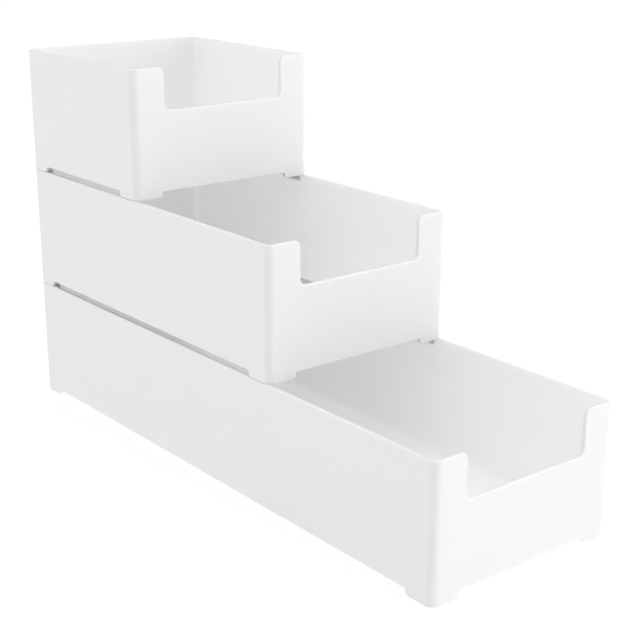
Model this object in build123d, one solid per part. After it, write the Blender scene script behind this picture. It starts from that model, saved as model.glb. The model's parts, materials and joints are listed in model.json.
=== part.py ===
from build123d import *
import os

# Three open-front bins of one family, stacked in steps with their backs in line.
# The fronts face -Y.  The origin is on the ground, under the middle of the stack's plan.

# ---- driving dimensions, mm ----
MODULE = 100.0        # width of every bin, and the step from one tier's depth to the next
TIER_HEIGHT = 60.0    # from the feet of one bin to the feet of the bin standing on it
REST_GAP = 0.2        # left between a rim and the feet that stand on it
WALL = 1.8            # wall and floor thickness
CORNER_R = 4.0        # outside radius of the upright corners
BOTTOM_GAP = 2.7      # how far the feet hold up the bottom edge of the walls
FOOT_LENGTH = 14.5    # each leg of an L-shaped foot, from the corner's outside face
FOOT_R = 2.0          # round at the bottom of a leg's end
RIM_R = 0.7           # round along both edges of the rim, the sill and the posts
INNER_R = 2.0         # round between the floor and the walls, inside
NOTCH_WIDTH = 66.0    # the opening in the front wall
NOTCH_HEIGHT = 40.0   # height of the sill above the feet
NOTCH_R = 3.2         # round at the sill's ends and at the tops of the two posts
LUG_DROP = 3.2        # how far a locating lug hangs below the feet
LUG_THICK = 1.4       # thickness of a lug
LUG_CLEARANCE = 0.6   # between a lug and the inside face of the bin below

# node: (depth in modules, tier, whether it has lugs to locate it on a bin below)
TIERS = {
    "lower_bin": (3, 0, False),
    "middle_bin": (2, 1, True),
    "top_bin": (1, 2, True),
}
BACK_Y = 1.5 * MODULE


def rounded_block(inset, depth, low, high):
    """An upright block inset from the bin's outside, its own back face at y = -inset."""
    outline = RectangleRounded(MODULE - 2 * inset, depth - 2 * inset, CORNER_R - inset)
    return Pos(0, -depth / 2, low) * extrude(outline, high - low)


def tray(depth):
    """Four walls and a floor, open at the top, rounded inside where they meet."""
    outside = rounded_block(0, depth, 0, TIER_HEIGHT - REST_GAP)
    inside = rounded_block(WALL, depth, BOTTOM_GAP + WALL, TIER_HEIGHT + 1)
    floor_edges = inside.faces().sort_by(Axis.Z)[0].edges()
    return outside - fillet(floor_edges, INNER_R)


def notch(depth):
    """The opening in the front wall, flared where it runs out into the rim."""
    half = NOTCH_WIDTH / 2
    rim = TIER_HEIGHT - REST_GAP
    opening = Rectangle(NOTCH_WIDTH, rim - NOTCH_HEIGHT + 10, align=(Align.CENTER, Align.MIN))
    opening = fillet(opening.vertices().sort_by(Axis.Y)[:2], NOTCH_R)
    outline = Pos(0, NOTCH_HEIGHT) * opening
    for side in (-1, 1):
        square = Pos(side * (half + NOTCH_R / 2), rim - NOTCH_R / 2) * Rectangle(NOTCH_R, NOTCH_R)
        outline += square - Pos(side * (half + NOTCH_R), rim - NOTCH_R) * Circle(NOTCH_R)
    cutter = extrude(Plane.XZ * outline, WALL + INNER_R, both=True)
    return Pos(0, -depth, 0) * cutter


def leg_gap(span, through):
    """A tunnel along Y between two feet, rounded where its sides come down to the ground."""
    half = span / 2 - FOOT_LENGTH
    outline = Pos(0, -1) * Rectangle(2 * half, BOTTOM_GAP + 1, align=(Align.CENTER, Align.MIN))
    for side in (-1, 1):
        square = Pos(side * (half + FOOT_R / 2), FOOT_R / 2) * Rectangle(FOOT_R, FOOT_R)
        outline += square - Pos(side * (half + FOOT_R), FOOT_R) * Circle(FOOT_R)
    return extrude(Plane.XZ * outline, through / 2 + 1, both=True)


def foot_relief(depth):
    """All that is cut from under the floor, so that an L-shaped leg is left at each corner."""
    under = rounded_block(WALL, depth, -1, BOTTOM_GAP)
    front_to_back = leg_gap(MODULE, depth)
    side_to_side = Rot(0, 0, 90) * leg_gap(depth, MODULE)
    return under + Pos(0, -depth / 2, 0) * (front_to_back + side_to_side)


def rim_edges(body):
    """Both long edges that run round the rim, down the posts and along the sill."""
    def crosses_wall(edge):
        return abs(edge.tangent_at(0.5).Y) > 0.99 and edge.length < WALL + 0.1
    high = [edge for edge in body.edges() if edge.center().Z > NOTCH_HEIGHT - 0.1]
    return [edge for edge in high if not crosses_wall(edge)]


def lugs(depth):
    """Rails inside the feet's side legs: they drop inside the rim of the bin below."""
    outer = WALL + LUG_CLEARANCE
    hanging = rounded_block(outer, depth, -LUG_DROP, BOTTOM_GAP + 0.4)
    hanging = chamfer(hanging.faces().sort_by(Axis.Z)[0].edges(), 0.4)
    root = rounded_block(WALL - 0.4, depth, 0, BOTTOM_GAP + 0.4)
    hollow = rounded_block(outer + LUG_THICK, depth, -LUG_DROP - 1, BOTTOM_GAP + 1)
    ring = hanging + root - hollow
    kept = Part()
    for x in (-MODULE / 2, MODULE / 2):
        for y in (0, -depth):
            kept += Pos(x, y, 0) * Box(2 * CORNER_R, 2 * FOOT_LENGTH, 20)
    return ring & kept


def bin_body(modules, located):
    """One whole bin, its feet on z = 0 and its back on y = 0."""
    depth = modules * MODULE
    body = tray(depth) - notch(depth) - foot_relief(depth)
    body = fillet(rim_edges(body), RIM_R)
    return body + lugs(depth) if located else body


os.makedirs("parts", exist_ok=True)
for node, (modules, tier, located) in TIERS.items():
    placed = Pos(0, BACK_Y, tier * TIER_HEIGHT) * bin_body(modules, located)
    box = placed.bounding_box()
    print(node, "solids", len(placed.solids()), "volume mm3", round(placed.volume), box.min, box.max)
    export_step(placed, f"parts/{node}.step")
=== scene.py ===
# %% [markdown]
# # Three open-front bins, stacked in steps
#
# The object is a family of moulded plastic bins: one width, one height, and depths of one,
# two and three modules. They stand on each other's rims with their backs in line, so that
# the open fronts make a stair. This file dresses the packed model: each bin becomes one
# closed surface with true rounds, a satin plastic finish, and a plain studio round it.

# %% Load the frame
import json
import math

import bpy
import numpy as np
from mathutils import Matrix, Vector

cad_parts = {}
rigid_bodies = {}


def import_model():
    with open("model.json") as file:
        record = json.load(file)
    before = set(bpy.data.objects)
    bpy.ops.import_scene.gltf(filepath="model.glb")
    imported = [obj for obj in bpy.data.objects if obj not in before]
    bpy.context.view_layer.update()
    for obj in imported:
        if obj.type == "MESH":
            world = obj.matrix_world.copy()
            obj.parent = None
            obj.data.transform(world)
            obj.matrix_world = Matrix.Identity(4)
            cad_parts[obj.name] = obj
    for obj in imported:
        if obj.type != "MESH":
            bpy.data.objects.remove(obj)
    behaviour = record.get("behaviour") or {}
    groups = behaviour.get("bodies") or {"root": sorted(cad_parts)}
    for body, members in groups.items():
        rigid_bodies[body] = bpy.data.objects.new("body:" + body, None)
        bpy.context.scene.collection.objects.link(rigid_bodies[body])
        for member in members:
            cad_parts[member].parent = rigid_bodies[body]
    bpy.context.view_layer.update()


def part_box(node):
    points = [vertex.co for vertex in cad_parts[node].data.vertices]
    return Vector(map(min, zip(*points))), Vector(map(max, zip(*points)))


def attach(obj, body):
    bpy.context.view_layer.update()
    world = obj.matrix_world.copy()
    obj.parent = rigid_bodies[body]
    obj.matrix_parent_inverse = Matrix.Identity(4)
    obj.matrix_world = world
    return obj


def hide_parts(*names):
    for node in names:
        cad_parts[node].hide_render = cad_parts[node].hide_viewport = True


for leftover in list(bpy.data.objects):
    bpy.data.objects.remove(leftover)
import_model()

# %% [markdown]
# ## The sizes of one bin
#
# A mould maker would draw one bin and change only its depth. All lengths here are in
# millimetres, because that is how such a drawing is read, and they turn into metres in
# the one function that makes a mesh. The depth and the place of each bin come from the
# frame, so the picture can't drift away from the model.

# %% Sizes in millimetres
WIDTH = 100.0
RIM = 59.8            # height of the rim above the feet
WALL = 1.8
CORNER = 4.0          # outside radius of the upright corners
GAP = 2.7             # the bottom edge of the walls, above the feet
FOOT = 14.5           # one leg of an L-shaped foot
FOOT_ROUND = 1.8
FOOT_FILLET = 0.6     # where a leg runs into the bottom edge of the wall
NOTCH = 66.0          # width of the opening in the front wall
SILL = 40.0           # its height above the feet
NOTCH_ROUND = 3.2
RIM_ROUND = 0.6
EDGE_ROUND = 0.2      # round under the walls and feet
FLOOR = 4.5           # top of the floor
FLOOR_ROUND = 2.0     # between the floor and the walls, inside
UNDERSIDE = 3.4       # the floor's lower face, a little above the walls' bottom edge
WAIST = 8.0           # a level row of points on the outside, just above the feet
CORNER_ARC = CORNER * math.pi / 2
MM = 0.001

bins = {}
for node in ("lower_bin", "middle_bin", "top_bin"):
    low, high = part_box(node)
    rim = high.z / MM
    bins[node] = {"depth": (high.y - low.y) / MM, "back": high.y / MM, "feet": rim - RIM}
    print(node, {name: round(value, 2) for name, value in bins[node].items()})

# %% [markdown]
# ## From a distance round the wall to a place in the room
#
# A thin wall is easiest to think of unrolled, like the paper label of a tin. Along the
# label runs **u**, the distance round the outside, from the middle of the front towards
# the right. Up it runs **z**. A third number, the **inset**, says how deep in the wall a
# point lies. One function rolls the label up again. It works on whole arrays, so there is
# no loop over points.


# %% Roll the label up
def roll(u, inset, depth):
    """Places on a rounded rectangle, and the outward direction there.

    The outline is nine stretches: half the front, corner, side, corner, back, corner,
    side, corner, half the front.  On a straight one the place is its start plus the
    distance times its direction; on a corner it is the centre plus the radius times the
    outward direction, which turns evenly with the distance.  The inset then moves the
    place against the outward direction.
    """
    a, b = WIDTH / 2 - CORNER, depth / 2 - CORNER
    arc_length = CORNER_ARC
    lengths = np.array(
        [a, arc_length, 2 * b, arc_length, 2 * a, arc_length, 2 * b, arc_length, a]
    )
    starts = np.concatenate([[0.0], np.cumsum(lengths)])
    u = np.mod(u, starts[-1])
    piece = np.clip(np.searchsorted(starts, u, side="right") - 1, 0, len(lengths) - 1)
    along = u - starts[piece]
    bend = piece % 2 == 1
    angle = (piece // 2) * math.pi / 2 - math.pi / 2 + np.where(bend, along / CORNER, 0.0)
    out = np.stack([np.cos(angle), np.sin(angle)], axis=-1)
    onward = np.stack([-out[..., 1], out[..., 0]], axis=-1)
    centre_x = np.array([0, a, a, a, a, -a, -a, -a, -a])[piece]
    centre_y = np.array([-b, -b, -b, b, b, b, b, -b, -b])[piece]
    centre = np.stack([centre_x, centre_y], axis=-1)
    run = np.where(bend, 0.0, along)
    place = centre + onward * run[..., None] + out * (CORNER - np.asarray(inset))[..., None]
    return place, out, onward


def girth(depth):
    """The whole way round the outside."""
    return 2 * (WIDTH - 2 * CORNER) + 2 * (depth - 2 * CORNER) + 4 * CORNER_ARC


probe, _, _ = roll(np.array([0.0, girth(WIDTH) / 2]), np.zeros(2), WIDTH)
print("front middle", probe[0].round(3), "back middle", probe[1].round(3))

# %% [markdown]
# ## Two kinds of stroke
#
# Unrolled, the wall's edges are made of straight lines and parts of circles, so two small
# functions draw them all. Each leaves out its last point, because that is the first point
# of the next stroke. Faces should be narrow where a line meets a round and wide in the
# middle of it, which is what **crowd** is for.

# %% Strokes of a drawing
SLIGHT, MEDIUM, STRONG = 0.5, 0.6, 0.7    # how much points crowd towards a line's ends


def line(start, end, count, crowd=0.0):
    """Points from start towards end, without the end.

    The place is start + t * (end - start).  With crowd, t is pushed towards both ends by
    a slice of a sine wave, so that faces are narrow where the line meets a round.
    """
    t = np.arange(count) / count
    t = (t - crowd * np.sin(2 * np.pi * t) / (2 * np.pi))[:, None]
    return np.asarray(start)[None, :] * (1 - t) + np.asarray(end)[None, :] * t


def arc(centre, radius, start, end, count):
    """Points on a circle, from one angle in degrees towards another, without the end.

    The place is centre + radius * (cosine, sine) of the angle.
    """
    angle = np.radians(start + (end - start) * np.arange(count) / count)
    turned = np.stack([np.cos(angle), np.sin(angle)], axis=-1)
    return np.asarray(centre)[None, :] + radius * turned


def level(knots, counts, crowds):
    """Lines at height 0 through the knots, each with its own count of points and crowd."""
    lines = zip(knots[:-1], knots[1:], counts, crowds)
    return np.concatenate([line((a, 0), (b, 0), count, crowd) for a, b, count, crowd in lines])


print("a crowded line", line((0, 0), (1, 0), 5, STRONG)[:, 0].round(3))

# %% [markdown]
# ## The outline of the wall, unrolled
#
# On the label the wall is a long strip. Its top edge is the rim, which drops into the
# front notch through a round shoulder, down a post, round a second corner and along the
# sill. Its bottom edge runs along the raised bottom of the wall and steps down into each
# foot. Both edges are drawn with the same number of points, so that point *k* above and
# point *k* below make one column of faces.
#
# Two more strokes have the same number of points and stay level, so they only ever move
# forwards. One is for the floor, which has no steps. The other is the **waist**, on the
# outside just above the feet: with it, the columns stand upright before they reach the
# feet, and no face folds over at a step.

# %% The front, from its middle to the corner
FRONT_COUNTS = (14, 12, 10, 12, 5)        # points on each stroke, above and below alike


def front_quarter():
    """Top, floor, waist and bottom strokes, from the middle of the front to the corner."""
    sill_end = NOTCH / 2 - NOTCH_ROUND
    shoulder = NOTCH / 2 + NOTCH_ROUND
    flat = WIDTH / 2 - CORNER
    leg = WIDTH / 2 - FOOT
    lift = GAP - FOOT_FILLET
    first, second, third, fourth, fifth = FRONT_COUNTS
    top = [
        line((0, SILL), (sill_end, SILL), first, STRONG),
        arc((sill_end, SILL + NOTCH_ROUND), NOTCH_ROUND, -90, 0, second),
        line((NOTCH / 2, SILL + NOTCH_ROUND), (NOTCH / 2, RIM - NOTCH_ROUND), third, SLIGHT),
        arc((shoulder, RIM - NOTCH_ROUND), NOTCH_ROUND, 180, 90, fourth),
        line((shoulder, RIM), (flat, RIM), fifth, SLIGHT),
    ]
    bottom = [
        line((0, GAP), (leg - FOOT_FILLET, GAP), first, STRONG),
        arc((leg - FOOT_FILLET, lift), FOOT_FILLET, 90, 0, second),
        line((leg, lift), (leg, FOOT_ROUND), third),
        arc((leg + FOOT_ROUND, FOOT_ROUND), FOOT_ROUND, 180, 270, fourth),
        line((leg + FOOT_ROUND, 0), (flat, 0), fifth, SLIGHT),
    ]
    # Floor and waist share out the notch's and the foot's steps over a few millimetres.
    floor_knots = [0, sill_end + 2, leg - 2, leg - 1, leg + 3, flat]
    floor = level(floor_knots, FRONT_COUNTS, (SLIGHT, 0, 0, 0, 0))
    foot_side = [leg - FOOT_FILLET, leg + 0.1, leg + 0.7, leg + FOOT_ROUND + 0.3]
    waist = level([0, *foot_side, flat], FRONT_COUNTS, (SLIGHT, 0, 0, 0, SLIGHT))
    return np.concatenate(top), floor, waist, np.concatenate(bottom)


print("front strokes", [stroke.shape for stroke in front_quarter()])

# %% [markdown]
# Round the corner and along the side the rim is level, so only the bottom edge needs its
# own strokes. A deeper bin gets more points along its side, so that its faces are no
# longer than those of its neighbours.

# %% The corner and half of the side
SIDE_COUNTS = (18, 6, 10, 3, 6)           # the corner, then the strokes of one leg
SIDE_LEAST = 8                            # points from the leg to the middle of the side
MM_PER_EXTRA_POINT = 25


def side_quarter(depth):
    """Top, floor and bottom strokes round the corner and along half of the side."""
    flat = WIDTH / 2 - CORNER
    turned = flat + CORNER_ARC
    leg = turned + FOOT - CORNER
    middle = turned + depth / 2 - CORNER
    lift = GAP - FOOT_FILLET
    counts = (*SIDE_COUNTS, SIDE_LEAST + round(depth / MM_PER_EXTRA_POINT))
    first, second, third, fourth, fifth, sixth = counts
    bottom = [
        line((flat, 0), (turned, 0), first),
        line((turned, 0), (leg - FOOT_ROUND, 0), second, MEDIUM),
        arc((leg - FOOT_ROUND, FOOT_ROUND), FOOT_ROUND, -90, 0, third),
        line((leg, FOOT_ROUND), (leg, lift), fourth),
        arc((leg + FOOT_FILLET, lift), FOOT_FILLET, 180, 90, fifth),
        line((leg + FOOT_FILLET, GAP), (middle, GAP), sixth),
    ]
    foot_side = [leg - FOOT_ROUND, leg - 0.6, leg - 0.2, leg + FOOT_FILLET]
    floor = level([flat, turned, *foot_side, middle], counts, (0, MEDIUM, 0, 0, 0, 0))
    return floor + [0, RIM], floor, np.concatenate(bottom)


print("side strokes", [stroke.shape for stroke in side_quarter(WIDTH)])

# %% [markdown]
# The bin is the same to the left and the right, and its back is like its front without the
# notch. So the quarters are drawn once and walked back as mirror images.


# %% Close the outline
def mirrored(stroke, middle, height):
    """The stroke walked back on the far side of the middle, where its height is known."""
    back = stroke[:0:-1] * [-1, 1] + [2 * middle, 0]
    return np.concatenate([[[middle, height]], back])


def all_round(front, rear, middle, height):
    """A closed stroke: front and rear quarters, then both again mirrored to the left."""
    half = np.concatenate([front, mirrored(rear, middle, height)])
    return np.concatenate([half, mirrored(half, 2 * middle, height)])


def outline(depth):
    """Top, floor, waist and bottom all the way round, as (u, z) points in matching columns."""
    front_top, front_floor, front_waist, front_bottom = front_quarter()
    side_top, side_floor, side_bottom = side_quarter(depth)
    middle = girth(depth) / 4
    floor = np.concatenate([front_floor, side_floor])
    waist = np.concatenate([front_waist, side_floor])
    top = np.concatenate([front_top, side_top])
    bottom = np.concatenate([front_bottom, side_bottom])
    return (
        all_round(top, floor + [0, RIM], middle, RIM),
        all_round(floor, floor, middle, 0),
        all_round(waist, waist, middle, 0),
        all_round(bottom, bottom, middle, GAP),
    )


for node, size in bins.items():
    top, _, _, bottom = outline(size["depth"])
    print(node, "columns", len(top), "lowest", bottom[:, 1].min(), "highest", top[:, 1].max())

# %% [markdown]
# ## The wall's section
#
# Now the other direction of the grid: one journey across the wall. It starts on the floor
# inside, climbs the round into the inner face, goes over the rim with its two small
# rounds, comes down the outer face to the waist and on to the feet, turns under the bottom
# edge, climbs the inside of the foot and ends under the floor. Every stage gives whole
# rows at once, and with each row the exact direction its surface faces. Real moulded
# plastic has no sharp edge anywhere, and exact directions keep the big flat faces free of
# the dark smears that averaged ones leave beside a round.

# %% Section rows
FLOOR_STEPS = 9       # rows on the round between floor and wall
INNER_STEPS = 14      # rows up the inner face, both ends counted
RIM_STEPS = 6         # rows on each round of the rim
OUTER_STEPS = 10      # rows down the outer face to the waist
FOOT_STEPS = 5        # rows from the waist to the bottom edge, both ends counted
EDGE_STEPS = 4        # rows on each round of the bottom edge


def into_wall(stroke, period, side):
    """At each point, the direction in the label that leads into the plastic.

    It is the travel direction turned by a right angle, down for the top edge (side -1) and
    up for the bottom edge (side +1).  The travel direction is the sum of the unit steps
    before and after the point, so that it halves each small bend.
    """
    step = np.roll(stroke, -1, axis=0) - stroke
    step[-1, 0] += period
    step /= np.linalg.norm(step, axis=1, keepdims=True)
    travel = step + np.roll(step, 1, axis=0)
    travel /= np.linalg.norm(travel, axis=1, keepdims=True)
    return side * np.stack([-travel[:, 1], travel[:, 0]], axis=-1)


def quarter_turn(count):
    """Sines and cosines of evenly spaced angles from 0 to 90 degrees, ends included."""
    angle = np.linspace(0, math.pi / 2, count)
    return list(zip(np.sin(angle), np.cos(angle)))


def section(depth):
    """Rows of the bin's surface: (u, z) points, inset, facing out, facing in the label.

    A row that follows an edge is the edge plus a distance times the direction into the
    wall.  On a round that distance is r * (1 - sin) and the inset is r * (1 - cos).  A
    row between two edges is a weighted mean of them.
    """
    period = girth(depth)
    top, floor, waist, bottom = outline(depth)
    from_top = into_wall(top, period, -1)
    from_bottom = into_wall(bottom, period, 1)
    up = np.zeros_like(top) + [0, 1]
    rows = []

    def row(points, inset, outward, edgeways):
        rows.append((points, inset, outward, edgeways))

    for sine, cosine in quarter_turn(FLOOR_STEPS):
        points = floor + [0, FLOOR + FLOOR_ROUND * (1 - cosine)]
        row(points, WALL + FLOOR_ROUND * (1 - sine), -sine, up * cosine)
    foot_of_wall = floor + [0, FLOOR + FLOOR_ROUND]
    rim_side = top + RIM_ROUND * from_top
    for t in np.linspace(0, 1, INNER_STEPS)[1:-1]:
        row(foot_of_wall * (1 - t) + rim_side * t, WALL, -1.0, up * 0)
    turn = quarter_turn(RIM_STEPS)
    for sine, cosine in turn:
        points = top + RIM_ROUND * (1 - sine) * from_top
        row(points, WALL - RIM_ROUND * (1 - cosine), -cosine, -from_top * sine)
    for sine, cosine in reversed(turn):
        points = top + RIM_ROUND * (1 - sine) * from_top
        row(points, RIM_ROUND * (1 - cosine), cosine, -from_top * sine)
    waist_side = waist + [0, WAIST]
    bottom_side = bottom + EDGE_ROUND * from_bottom
    for t in np.linspace(0, 1, OUTER_STEPS)[1:]:
        row(rim_side * (1 - t) + waist_side * t, 0.0, 1.0, up * 0)
    for t in np.linspace(0, 1, FOOT_STEPS)[1:-1]:
        row(waist_side * (1 - t) + bottom_side * t, 0.0, 1.0, up * 0)
    turn = quarter_turn(EDGE_STEPS)
    for sine, cosine in turn:
        points = bottom + EDGE_ROUND * (1 - sine) * from_bottom
        row(points, EDGE_ROUND * (1 - cosine), cosine, -from_bottom * sine)
    for sine, cosine in reversed(turn):
        points = bottom + EDGE_ROUND * (1 - sine) * from_bottom
        row(points, WALL - EDGE_ROUND * (1 - cosine), -cosine, -from_bottom * sine)
    for sine, cosine in turn:
        points = waist + [0, UNDERSIDE - EDGE_ROUND * (1 - sine)]
        row(points, WALL + EDGE_ROUND * (1 - cosine), -cosine, -up * sine)
    return rows


print("rows across the wall", len(section(WIDTH)))

# %% [markdown]
# ## From rows to a mesh
#
# The grid has one row for each stage and one column for each point round the bin. Numbers
# for its faces come from one block of index arithmetic. The two ends of the journey, the
# floor and the underside, are flat rings, and each is closed with a single flat face.

# %% Make a mesh
SHARP_DEGREES = 40.0  # where no facings are given, a steeper edge than this stays crisp


def build(name, places, facings, faces):
    """An object at the origin from points in millimetres, their facings and index lists."""
    mesh = bpy.data.meshes.new(name)
    mesh.from_pydata((places * MM).tolist(), [], faces)
    mesh.polygons.foreach_set("use_smooth", np.ones(len(faces), dtype=bool))
    mesh.update()
    if facings is None:
        mesh.set_sharp_from_angle(angle=math.radians(SHARP_DEGREES))
    else:
        mesh.normals_split_custom_set_from_vertices(facings.tolist())
    thing = bpy.data.objects.new(name, mesh)
    bpy.context.scene.collection.objects.link(thing)
    print(name, "points", len(places), "faces", len(faces))
    return thing


def grid_faces(rows, columns):
    """Quads of a grid that is closed round its columns, wound to face outwards."""
    down = np.arange(rows - 1)[:, None]
    across = np.arange(columns)[None, :]
    beside = (across + 1) % columns
    corners = [
        down * columns + across, (down + 1) * columns + across,
        (down + 1) * columns + beside, down * columns + beside,
    ]
    return np.stack(np.broadcast_arrays(*corners), axis=-1).reshape(-1, 4).tolist()


def end_faces(rows, columns):
    """Two flat faces that close the grid: its first row, and its last row reversed."""
    last = (rows - 1) * columns
    return [list(range(columns)), list(range(last, last + columns))[::-1]]


print("faces of a small grid", grid_faces(2, 3) + end_faces(2, 3))

# %% [markdown]
# ## The three shells
#
# A thin wall looks different from its two sides, so each shell has three finishes, in
# three material slots: one for the outside, one for the inside with the top of the rim,
# and one for the floor. The grid's faces are numbered row by row, so a finish is given to
# a whole run of rows at once.

# %% Make the shells
FINISHES = ("outside", "inside", "floor")
INSIDE_ROWS = FLOOR_STEPS + (INNER_STEPS - 2) + RIM_STEPS    # up to the top of the rim
FLOOR_ROWS = 6        # the first of them, on the flatter part of the round


def bin_surface(depth, back, feet):
    """Places and facings of every row of the section, rolled up and put in the room."""
    places, facings = [], []
    for points, inset, outward, edgeways in section(depth):
        flat, out, onward = roll(points[:, 0], np.full(len(points), inset), depth)
        places.append(np.column_stack([flat, points[:, 1]]))
        sideways = out * outward + onward * edgeways[:, :1]
        facings.append(np.column_stack([sideways, edgeways[:, 1]]))
    shift = [0, back - depth / 2, feet]
    return np.concatenate(places) + shift, np.concatenate(facings)


def make_bin(name, depth, back, feet):
    """One bin's shell: the grid of the section, and the two flat faces that close it."""
    places, facings = bin_surface(depth, back, feet)
    columns = len(outline(depth)[0])
    rows = len(places) // columns
    faces = grid_faces(rows, columns) + end_faces(rows, columns)
    shell = build(name, places, facings, faces)
    finish = np.full(len(faces), FINISHES.index("outside"), dtype=np.int32)
    finish[:INSIDE_ROWS * columns] = FINISHES.index("inside")
    finish[:FLOOR_ROWS * columns] = FINISHES.index("floor")
    finish[-2:] = FINISHES.index("floor")
    shell.data.polygons.foreach_set("material_index", finish)
    return shell


shells = {node: make_bin(node + "_shell", **size) for node, size in bins.items()}

# %% [markdown]
# ## Locating lugs
#
# What stops a stacked bin from sliding? Inside each of its feet hangs a short rail, a
# little in from the wall, that drops behind the rim of the bin below. The lowest bin
# stands on a shelf and has none. A rail is one closed profile carried along the corner:
# the path is the same unrolled distance **u** as before, so the rail follows the rounded
# corner without any new geometry. Its two ends are flat faces.

# %% The profile of a rail, as insets and heights
LUG_DROP = 3.2
LUG_OUTER = 2.4       # inset of the rail's outer face: the wall below, and some clearance
LUG_INNER = 3.8
LUG_BEVEL = 0.4       # at the lower edges, with one point between its ends
LUG_BEVEL_MIDDLE = 0.12
LUG_END = FOOT - 0.5
ROOT_INSET = WALL - 0.4        # the root bites into the wall
ROOT_TOP = UNDERSIDE + 0.3     # and into the floor
ROOT_BOTTOM = 0.25             # clear of the rim below
ROOT_BEVEL = 0.15
lug_profile = np.array([
    (ROOT_INSET, ROOT_TOP),
    (LUG_INNER, ROOT_TOP),
    (LUG_INNER, LUG_BEVEL - LUG_DROP),
    (LUG_INNER - LUG_BEVEL_MIDDLE, LUG_BEVEL_MIDDLE - LUG_DROP),
    (LUG_INNER - LUG_BEVEL, -LUG_DROP),
    (LUG_OUTER + LUG_BEVEL, -LUG_DROP),
    (LUG_OUTER + LUG_BEVEL_MIDDLE, LUG_BEVEL_MIDDLE - LUG_DROP),
    (LUG_OUTER, LUG_BEVEL - LUG_DROP),
    (LUG_OUTER, ROOT_BOTTOM - ROOT_BEVEL),
    (LUG_OUTER - ROOT_BEVEL, ROOT_BOTTOM),
    (ROOT_INSET, ROOT_BOTTOM),
])
print("profile points", len(lug_profile), "drop", LUG_DROP, "mm")

# %% [markdown]
# Every bin that stands on another has four rails. Each starts where the front or back
# turns into the corner, runs round the corner, and ends just short of the end of the
# foot's side leg.

# %% Carry a rail round each corner
RAIL_STEPS = 24


def make_rail(name, start, end, depth, back, feet):
    """The profile of insets and heights, repeated at even distances from start to end."""
    path = np.linspace(start, end, RAIL_STEPS)
    u, inset = np.meshgrid(path, lug_profile[:, 0], indexing="ij")
    flat, _, _ = roll(u.ravel(), inset.ravel(), depth)
    height = np.tile(lug_profile[:, 1], RAIL_STEPS)
    places = np.column_stack([flat, height]) + [0, back - depth / 2, feet]
    across = len(lug_profile)
    faces = grid_faces(RAIL_STEPS, across) + end_faces(RAIL_STEPS, across)
    return build(name, places, None, faces)


def rails_for(node):
    """A rail inside each of a bin's four feet, along the side leg and round the corner."""
    corner = WIDTH / 2 - CORNER
    reach = CORNER_ARC + LUG_END - CORNER
    half = girth(bins[node]["depth"]) / 2
    spans = {
        "front_right": (corner, corner + reach),
        "back_right": (half - corner - reach, half - corner),
        "back_left": (half + corner, half + corner + reach),
        "front_left": (2 * half - corner - reach, 2 * half - corner),
    }
    return [
        make_rail(f"{node}_rail_{where}", *span, **bins[node])
        for where, span in spans.items()
    ]


rails = {node: rails_for(node) for node in ("middle_bin", "top_bin")}

# %% [markdown]
# ## Writing shader maths as sums
#
# A material is a graph of small sums. Wiring each by hand hides the formula, so one small
# class wraps a socket and lets `+`, `-` and `*` add the Math nodes. Every other node comes
# from one method: its type, its settings, and then the values or links it takes.


# %% A socket that can be added and multiplied
class Wire:
    """An output of a node.  Arithmetic on it adds the Math node that does the same."""

    def __init__(self, paint, socket):
        self.paint = paint
        self.socket = socket

    def _sum(self, operation, first, second):
        settings = {"operation": operation}
        return self.paint.node("ShaderNodeMath", settings, {0: first, 1: second})

    def __add__(self, other):
        return self._sum("ADD", self, other)

    def __radd__(self, other):
        return self._sum("ADD", other, self)

    def __sub__(self, other):
        return self._sum("SUBTRACT", self, other)

    def __rsub__(self, other):
        return self._sum("SUBTRACT", other, self)

    def __mul__(self, other):
        return self._sum("MULTIPLY", self, other)

    def __rmul__(self, other):
        return self._sum("MULTIPLY", other, self)

    def clamped(self, low, high):
        """The value, brought from the range low..high to 0..1 and held there."""
        settings = {"clamp": True, "interpolation_type": "SMOOTHSTEP"}
        return self.paint.node("ShaderNodeMapRange", settings, {0: self, 1: low, 2: high})


class Paint:
    """A material whose nodes are added one call at a time."""

    def __init__(self, name):
        self.material = bpy.data.materials.new(name)
        self.material.use_nodes = True
        self.tree = self.material.node_tree
        self.surface = self.tree.nodes["Principled BSDF"]

    def node(self, kind, settings=None, inputs=None, output=0):
        """A node of that kind: settings first, then its inputs, as values or as wires."""
        made = self.tree.nodes.new(kind)
        for name, value in (settings or {}).items():
            setattr(made, name, value)
        for name, value in (inputs or {}).items():
            self.feed(made.inputs[name], value)
        return Wire(self, made.outputs[output])

    def feed(self, socket, value):
        """Sets a socket from a number or colour, or links a wire to it."""
        if isinstance(value, Wire):
            self.tree.links.new(value.socket, socket)
        else:
            socket.default_value = value


sums = [name.strip("_") for name in vars(Wire) if name.endswith(("add__", "sub__", "mul__"))]
print("sums a wire can do", sums)

# %% [markdown]
# ## Satin white plastic
#
# Such a bin is moulded in white polypropylene against a finely blasted steel mould. Close
# to, three things show. The blasting leaves a skin of soft bumps a third of a millimetre
# across. Where the melt ran, the gloss drifts in long, faint clouds. And the feet, which
# slide on shelves and rims, get a little duller and greyer. All three are very faint, so
# the numbers here are small. They read Object coordinates, in metres, so that each keeps
# its real size on every bin.
#
# The white isn't quite opaque. A wall less than 2 mm thick lets daylight through, and that
# is why the inside of such a bin glows instead of going dark under the bin above. The
# shader's subsurface light does this: it enters at one face and leaves at another, as far
# away as the **reach**. On the inner faces the reach is long, so that they take light
# through the wall. On the outer faces it is short, which keeps their edges and corners
# crisp. The lowest floor lies on a bright table and takes the long reach too. The other
# floors hang over dark gaps, and with a long reach they would look grey.

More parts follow.
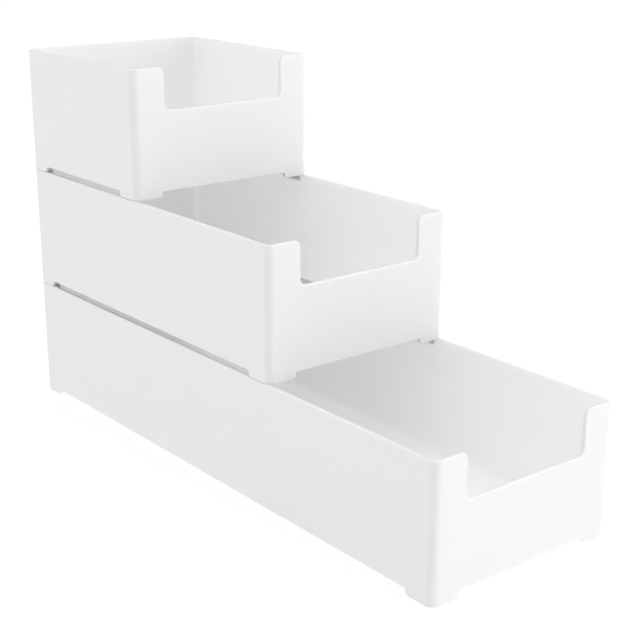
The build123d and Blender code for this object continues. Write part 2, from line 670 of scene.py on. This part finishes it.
# %% Numbers of the finish
GRAIN_PER_METRE = 3000.0
GRAIN_STRENGTH = 0.16
GRAIN_HEIGHT = 0.00004        # metres
CLOUDS_PER_METRE = 14.0
CLOUD_STRETCH = 0.35          # less than 1 draws the clouds out from front to back
PATCHES_PER_METRE = 160.0
PATCH_LOW, PATCH_HIGH = 0.38, 0.68
SCUFF_TOP = 5.0               # mm above the feet, where the scuffs fade out
SCUFF_COLOUR = 0.5            # how much of the scuffed colour the worst spots take
SATIN = 0.40                  # roughness without the three things below
GLOSS_DRIFT, GRAIN_DULLS, SCUFF_DULLS = 0.12, 0.03, 0.18
SHIFT_X, SHIFT_Y = 0.37, 0.19  # metres from one bin's patch of pattern to the next's
PLASTIC_IOR = 1.49
TRANSLUCENCE = 0.95           # the part of the white that is light from inside
SKIN_REACH = 0.0008           # metres that light travels under the outer faces
WALL_REACH = 0.016            # metres that it travels to reach the inner faces
WHITE = (0.93, 0.93, 0.927, 1.0)
SCUFFED = (0.87, 0.87, 0.86, 1.0)
COLOUR_A, COLOUR_B, COLOUR_MIXED = 6, 7, 2    # a Mix node's colour sockets, by number
print("white", WHITE[:3], "scuffed", SCUFFED[:3])


# %% Mix the plastic
def satin_plastic(name, feet, seed, reach):
    """White moulded plastic with blasted grain, drifting gloss and scuffed feet.

    Roughness is SATIN + drift * GLOSS_DRIFT + grain * GRAIN_DULLS + scuff * SCUFF_DULLS,
    where scuff is a patchy noise times a ramp that falls from 1 at the feet to 0 above.
    """
    paint = Paint(name)
    place = paint.node("ShaderNodeTexCoord", output="Object")
    shift = (seed * SHIFT_X, seed * SHIFT_Y, 0.0)
    moved = paint.node("ShaderNodeMapping", {}, {"Vector": place, "Location": shift})
    grain = paint.node(
        "ShaderNodeTexNoise", {},
        {"Vector": moved, "Scale": GRAIN_PER_METRE, "Detail": 2.0, "Roughness": 0.5},
    )
    stretch = (1.0, CLOUD_STRETCH, 1.0)
    stretched = paint.node("ShaderNodeMapping", {}, {"Vector": moved, "Scale": stretch})
    clouds = paint.node(
        "ShaderNodeTexNoise", {},
        {"Vector": stretched, "Scale": CLOUDS_PER_METRE, "Detail": 3.0, "Roughness": 0.55},
    )
    height = paint.node("ShaderNodeSeparateXYZ", {}, {"Vector": place}, output="Z")
    low = 1 - height.clamped(feet * MM, (feet + SCUFF_TOP) * MM)
    patches = paint.node(
        "ShaderNodeTexNoise", {},
        {"Vector": moved, "Scale": PATCHES_PER_METRE, "Detail": 4.0, "Roughness": 0.65},
    )
    scuff = low * patches.clamped(PATCH_LOW, PATCH_HIGH)
    colour = paint.node(
        "ShaderNodeMix", {"data_type": "RGBA"},
        {"Factor": scuff * SCUFF_COLOUR, COLOUR_A: WHITE, COLOUR_B: SCUFFED},
        output=COLOUR_MIXED,
    )
    drift = clouds - 0.5
    roughness = SATIN + drift * GLOSS_DRIFT + grain * GRAIN_DULLS + scuff * SCUFF_DULLS
    bump = paint.node(
        "ShaderNodeBump", {},
        {"Strength": GRAIN_STRENGTH, "Distance": GRAIN_HEIGHT, "Height": grain},
    )
    paint.feed(paint.surface.inputs["Base Color"], colour)
    paint.feed(paint.surface.inputs["Roughness"], roughness)
    paint.feed(paint.surface.inputs["Normal"], bump)
    paint.surface.inputs["IOR"].default_value = PLASTIC_IOR
    paint.surface.inputs["Subsurface Weight"].default_value = TRANSLUCENCE
    paint.surface.inputs["Subsurface Radius"].default_value = (1.0, 1.0, 1.0)
    paint.surface.inputs["Subsurface Scale"].default_value = reach
    return paint.material


plastics = {}
for seed, node in enumerate(bins, start=1):
    feet = bins[node]["feet"]
    on_the_table = feet <= 1
    reach_of = {"outside": SKIN_REACH, "inside": WALL_REACH}
    reach_of["floor"] = WALL_REACH if on_the_table else SKIN_REACH
    plastics[node] = {
        finish: satin_plastic(f"{node}_{finish}_plastic", feet, seed, reach_of[finish])
        for finish in FINISHES
    }
    print(node, "plastics", [material.name for material in plastics[node].values()])

# %% [markdown]
# ## Hand each piece to its body
#
# The packed model knows three moving bodies, and every piece rides on one by name. The
# shell stands for the whole packed bin, so the bin's own coarse mesh is hidden; the rails
# only add to it, and take the outside finish.

# %% Ride and replace
body_of_bin = {"lower_bin": "lower", "middle_bin": "middle", "top_bin": "top"}
for node, shell in shells.items():
    for finish in FINISHES:
        shell.data.materials.append(plastics[node][finish])
    for rail in rails.get(node, []):
        rail.data.materials.append(plastics[node]["outside"])
    for piece in [shell] + rails.get(node, []):
        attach(piece, body_of_bin[node])
    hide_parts(node)
    print(shell.name, "rides on", body_of_bin[node], "with", len(rails.get(node, [])), "rails")

# %% [markdown]
# ## A plain studio
#
# White on white needs light that shapes without drawing hard shadows. The floor is a light
# table: it glows a little, so it stays clean white right up to the feet and fills the gaps
# between the tiers from below.

# %% A glowing floor
FLOOR_REACH = 30.0    # metres from the middle to each side
FLOOR_GREY = (0.35, 0.35, 0.35, 1.0)
FLOOR_GLOW = 0.7

floor_mesh = bpy.data.meshes.new("studio_floor")
floor_mesh.from_pydata(
    [(x * FLOOR_REACH, y * FLOOR_REACH, 0.0) for x, y in ((-1, -1), (1, -1), (1, 1), (-1, 1))],
    [], [(0, 1, 2, 3)],
)
studio_floor = bpy.data.objects.new("studio_floor", floor_mesh)
bpy.context.scene.collection.objects.link(studio_floor)
floor_paint = Paint("studio_floor")
floor_paint.feed(floor_paint.surface.inputs["Base Color"], FLOOR_GREY)
floor_paint.feed(floor_paint.surface.inputs["Emission Color"], (1.0, 1.0, 1.0, 1.0))
floor_paint.feed(floor_paint.surface.inputs["Emission Strength"], FLOOR_GLOW)
floor_paint.feed(floor_paint.surface.inputs["Roughness"], 0.9)
floor_paint.feed(floor_paint.surface.inputs["Specular IOR Level"], 0.1)
floor_mesh.materials.append(floor_paint.material)
print("floor", 2 * FLOOR_REACH, "m wide, glow", FLOOR_GLOW)

# %% [markdown]
# A dome lights the bins from above. It is dim at the horizon and bright overhead, so that
# the rims and the floors are the brightest and light falls into the open bins. Its own
# picture, behind the bins, is plain white like a paper backdrop: where a ray goes straight
# from the eye to the dome, one number takes the place of the dim horizon. That changes
# none of the light on the bins.

# %% Dome
DOME_HORIZON = 0.04
DOME_OVERHEAD = 1.17
BACKGROUND_SEEN = 1.0

dome = bpy.data.worlds.new("studio_dome")
dome.use_nodes = True
sky = dome.node_tree
direction = sky.nodes.new("ShaderNodeTexCoord")
parts = sky.nodes.new("ShaderNodeSeparateXYZ")
strength = sky.nodes.new("ShaderNodeMapRange")
strength.inputs["To Min"].default_value = DOME_HORIZON
strength.inputs["To Max"].default_value = DOME_OVERHEAD
seen = sky.nodes.new("ShaderNodeLightPath")
shown = sky.nodes.new("ShaderNodeMix")
shown.inputs["B"].default_value = BACKGROUND_SEEN
background = sky.nodes["Background"]
background.inputs["Color"].default_value = (1.0, 1.0, 1.0, 1.0)
sky.links.new(direction.outputs["Generated"], parts.inputs["Vector"])
sky.links.new(parts.outputs["Z"], strength.inputs["Value"])
sky.links.new(seen.outputs["Is Camera Ray"], shown.inputs["Factor"])
sky.links.new(strength.outputs["Result"], shown.inputs["A"])
sky.links.new(shown.outputs["Result"], background.inputs["Strength"])
bpy.context.scene.world = dome
print("dome from", DOME_HORIZON, "to", DOME_OVERHEAD)

# %% [markdown]
# Four large soft panels give the white faces their shape. The strongest stands to the
# right and lights the fronts. A weaker one lights the left sides, so that the rounded
# corner between a front and a side, which looks at neither panel, turns a little darker
# than both. A third keeps the far sides from going grey, and a small one hangs above to
# light the rims.

# %% Panels
PANEL_AIM = Vector((0.0, 0.0, 0.08))
PANELS = {            # place, width in metres, watts
    "panel_right": ((1.7, -2.3, 0.6), 1.5, 28.0),
    "panel_left": ((-2.2, 1.6, 0.6), 1.5, 9.5),
    "panel_far": ((2.2, 1.6, 0.6), 1.5, 7.0),
    "panel_above": ((0.1, 0.0, 1.4), 1.0, 1.5),
}


def panel(name, place, size, watts):
    """A square soft light at a place, facing the middle of the stack."""
    light = bpy.data.lights.new(name, "AREA")
    light.size = size
    light.energy = watts
    thing = bpy.data.objects.new(name, light)
    away = (Vector(place) - PANEL_AIM).normalized()
    turn = away.to_track_quat("Z", "Y").to_matrix().to_4x4()
    thing.matrix_world = Matrix.Translation(place) @ turn
    bpy.context.scene.collection.objects.link(thing)
    print(name, "at", place, "watts", watts)


for name, (place, size, watts) in PANELS.items():
    panel(name, place, size, watts)

# %% [markdown]
# ## The camera
#
# It stands in front, to the left and a little above, with a long lens, as a catalogue
# picture of a stack would be taken. Its place is given outright and its aim as two angles,
# so that either can be changed on its own.

# %% Camera
CAMERA_PLACE = (-0.36220, -0.46947, 0.25775)
CAMERA_TURN = 38.976      # degrees to the right of straight ahead
CAMERA_DROP = 17.928      # degrees below level
CAMERA_ROLL = 0.17        # degrees, a slight tilt of the whole picture
SENSOR_WIDTH = 36.0
FOCAL_WIDTHS = 2.0984     # focal length, in widths of the sensor

camera_data = bpy.data.cameras.new("camera")
camera_data.sensor_width = SENSOR_WIDTH
camera_data.lens = FOCAL_WIDTHS * SENSOR_WIDTH
camera_data.clip_start = 0.01
camera = bpy.data.objects.new("camera", camera_data)
camera.matrix_world = (
    Matrix.Translation(CAMERA_PLACE)
    @ Matrix.Rotation(math.radians(-CAMERA_TURN), 4, "Z")
    @ Matrix.Rotation(math.radians(90.0 - CAMERA_DROP), 4, "X")
    @ Matrix.Rotation(math.radians(CAMERA_ROLL), 4, "Z")
)
bpy.context.scene.collection.objects.link(camera)
bpy.context.scene.camera = camera
bpy.context.scene.view_settings.view_transform = "Standard"
print("lens", round(camera_data.lens, 2), "mm")

# %% [markdown] The dressed model must stay inside the packed one.
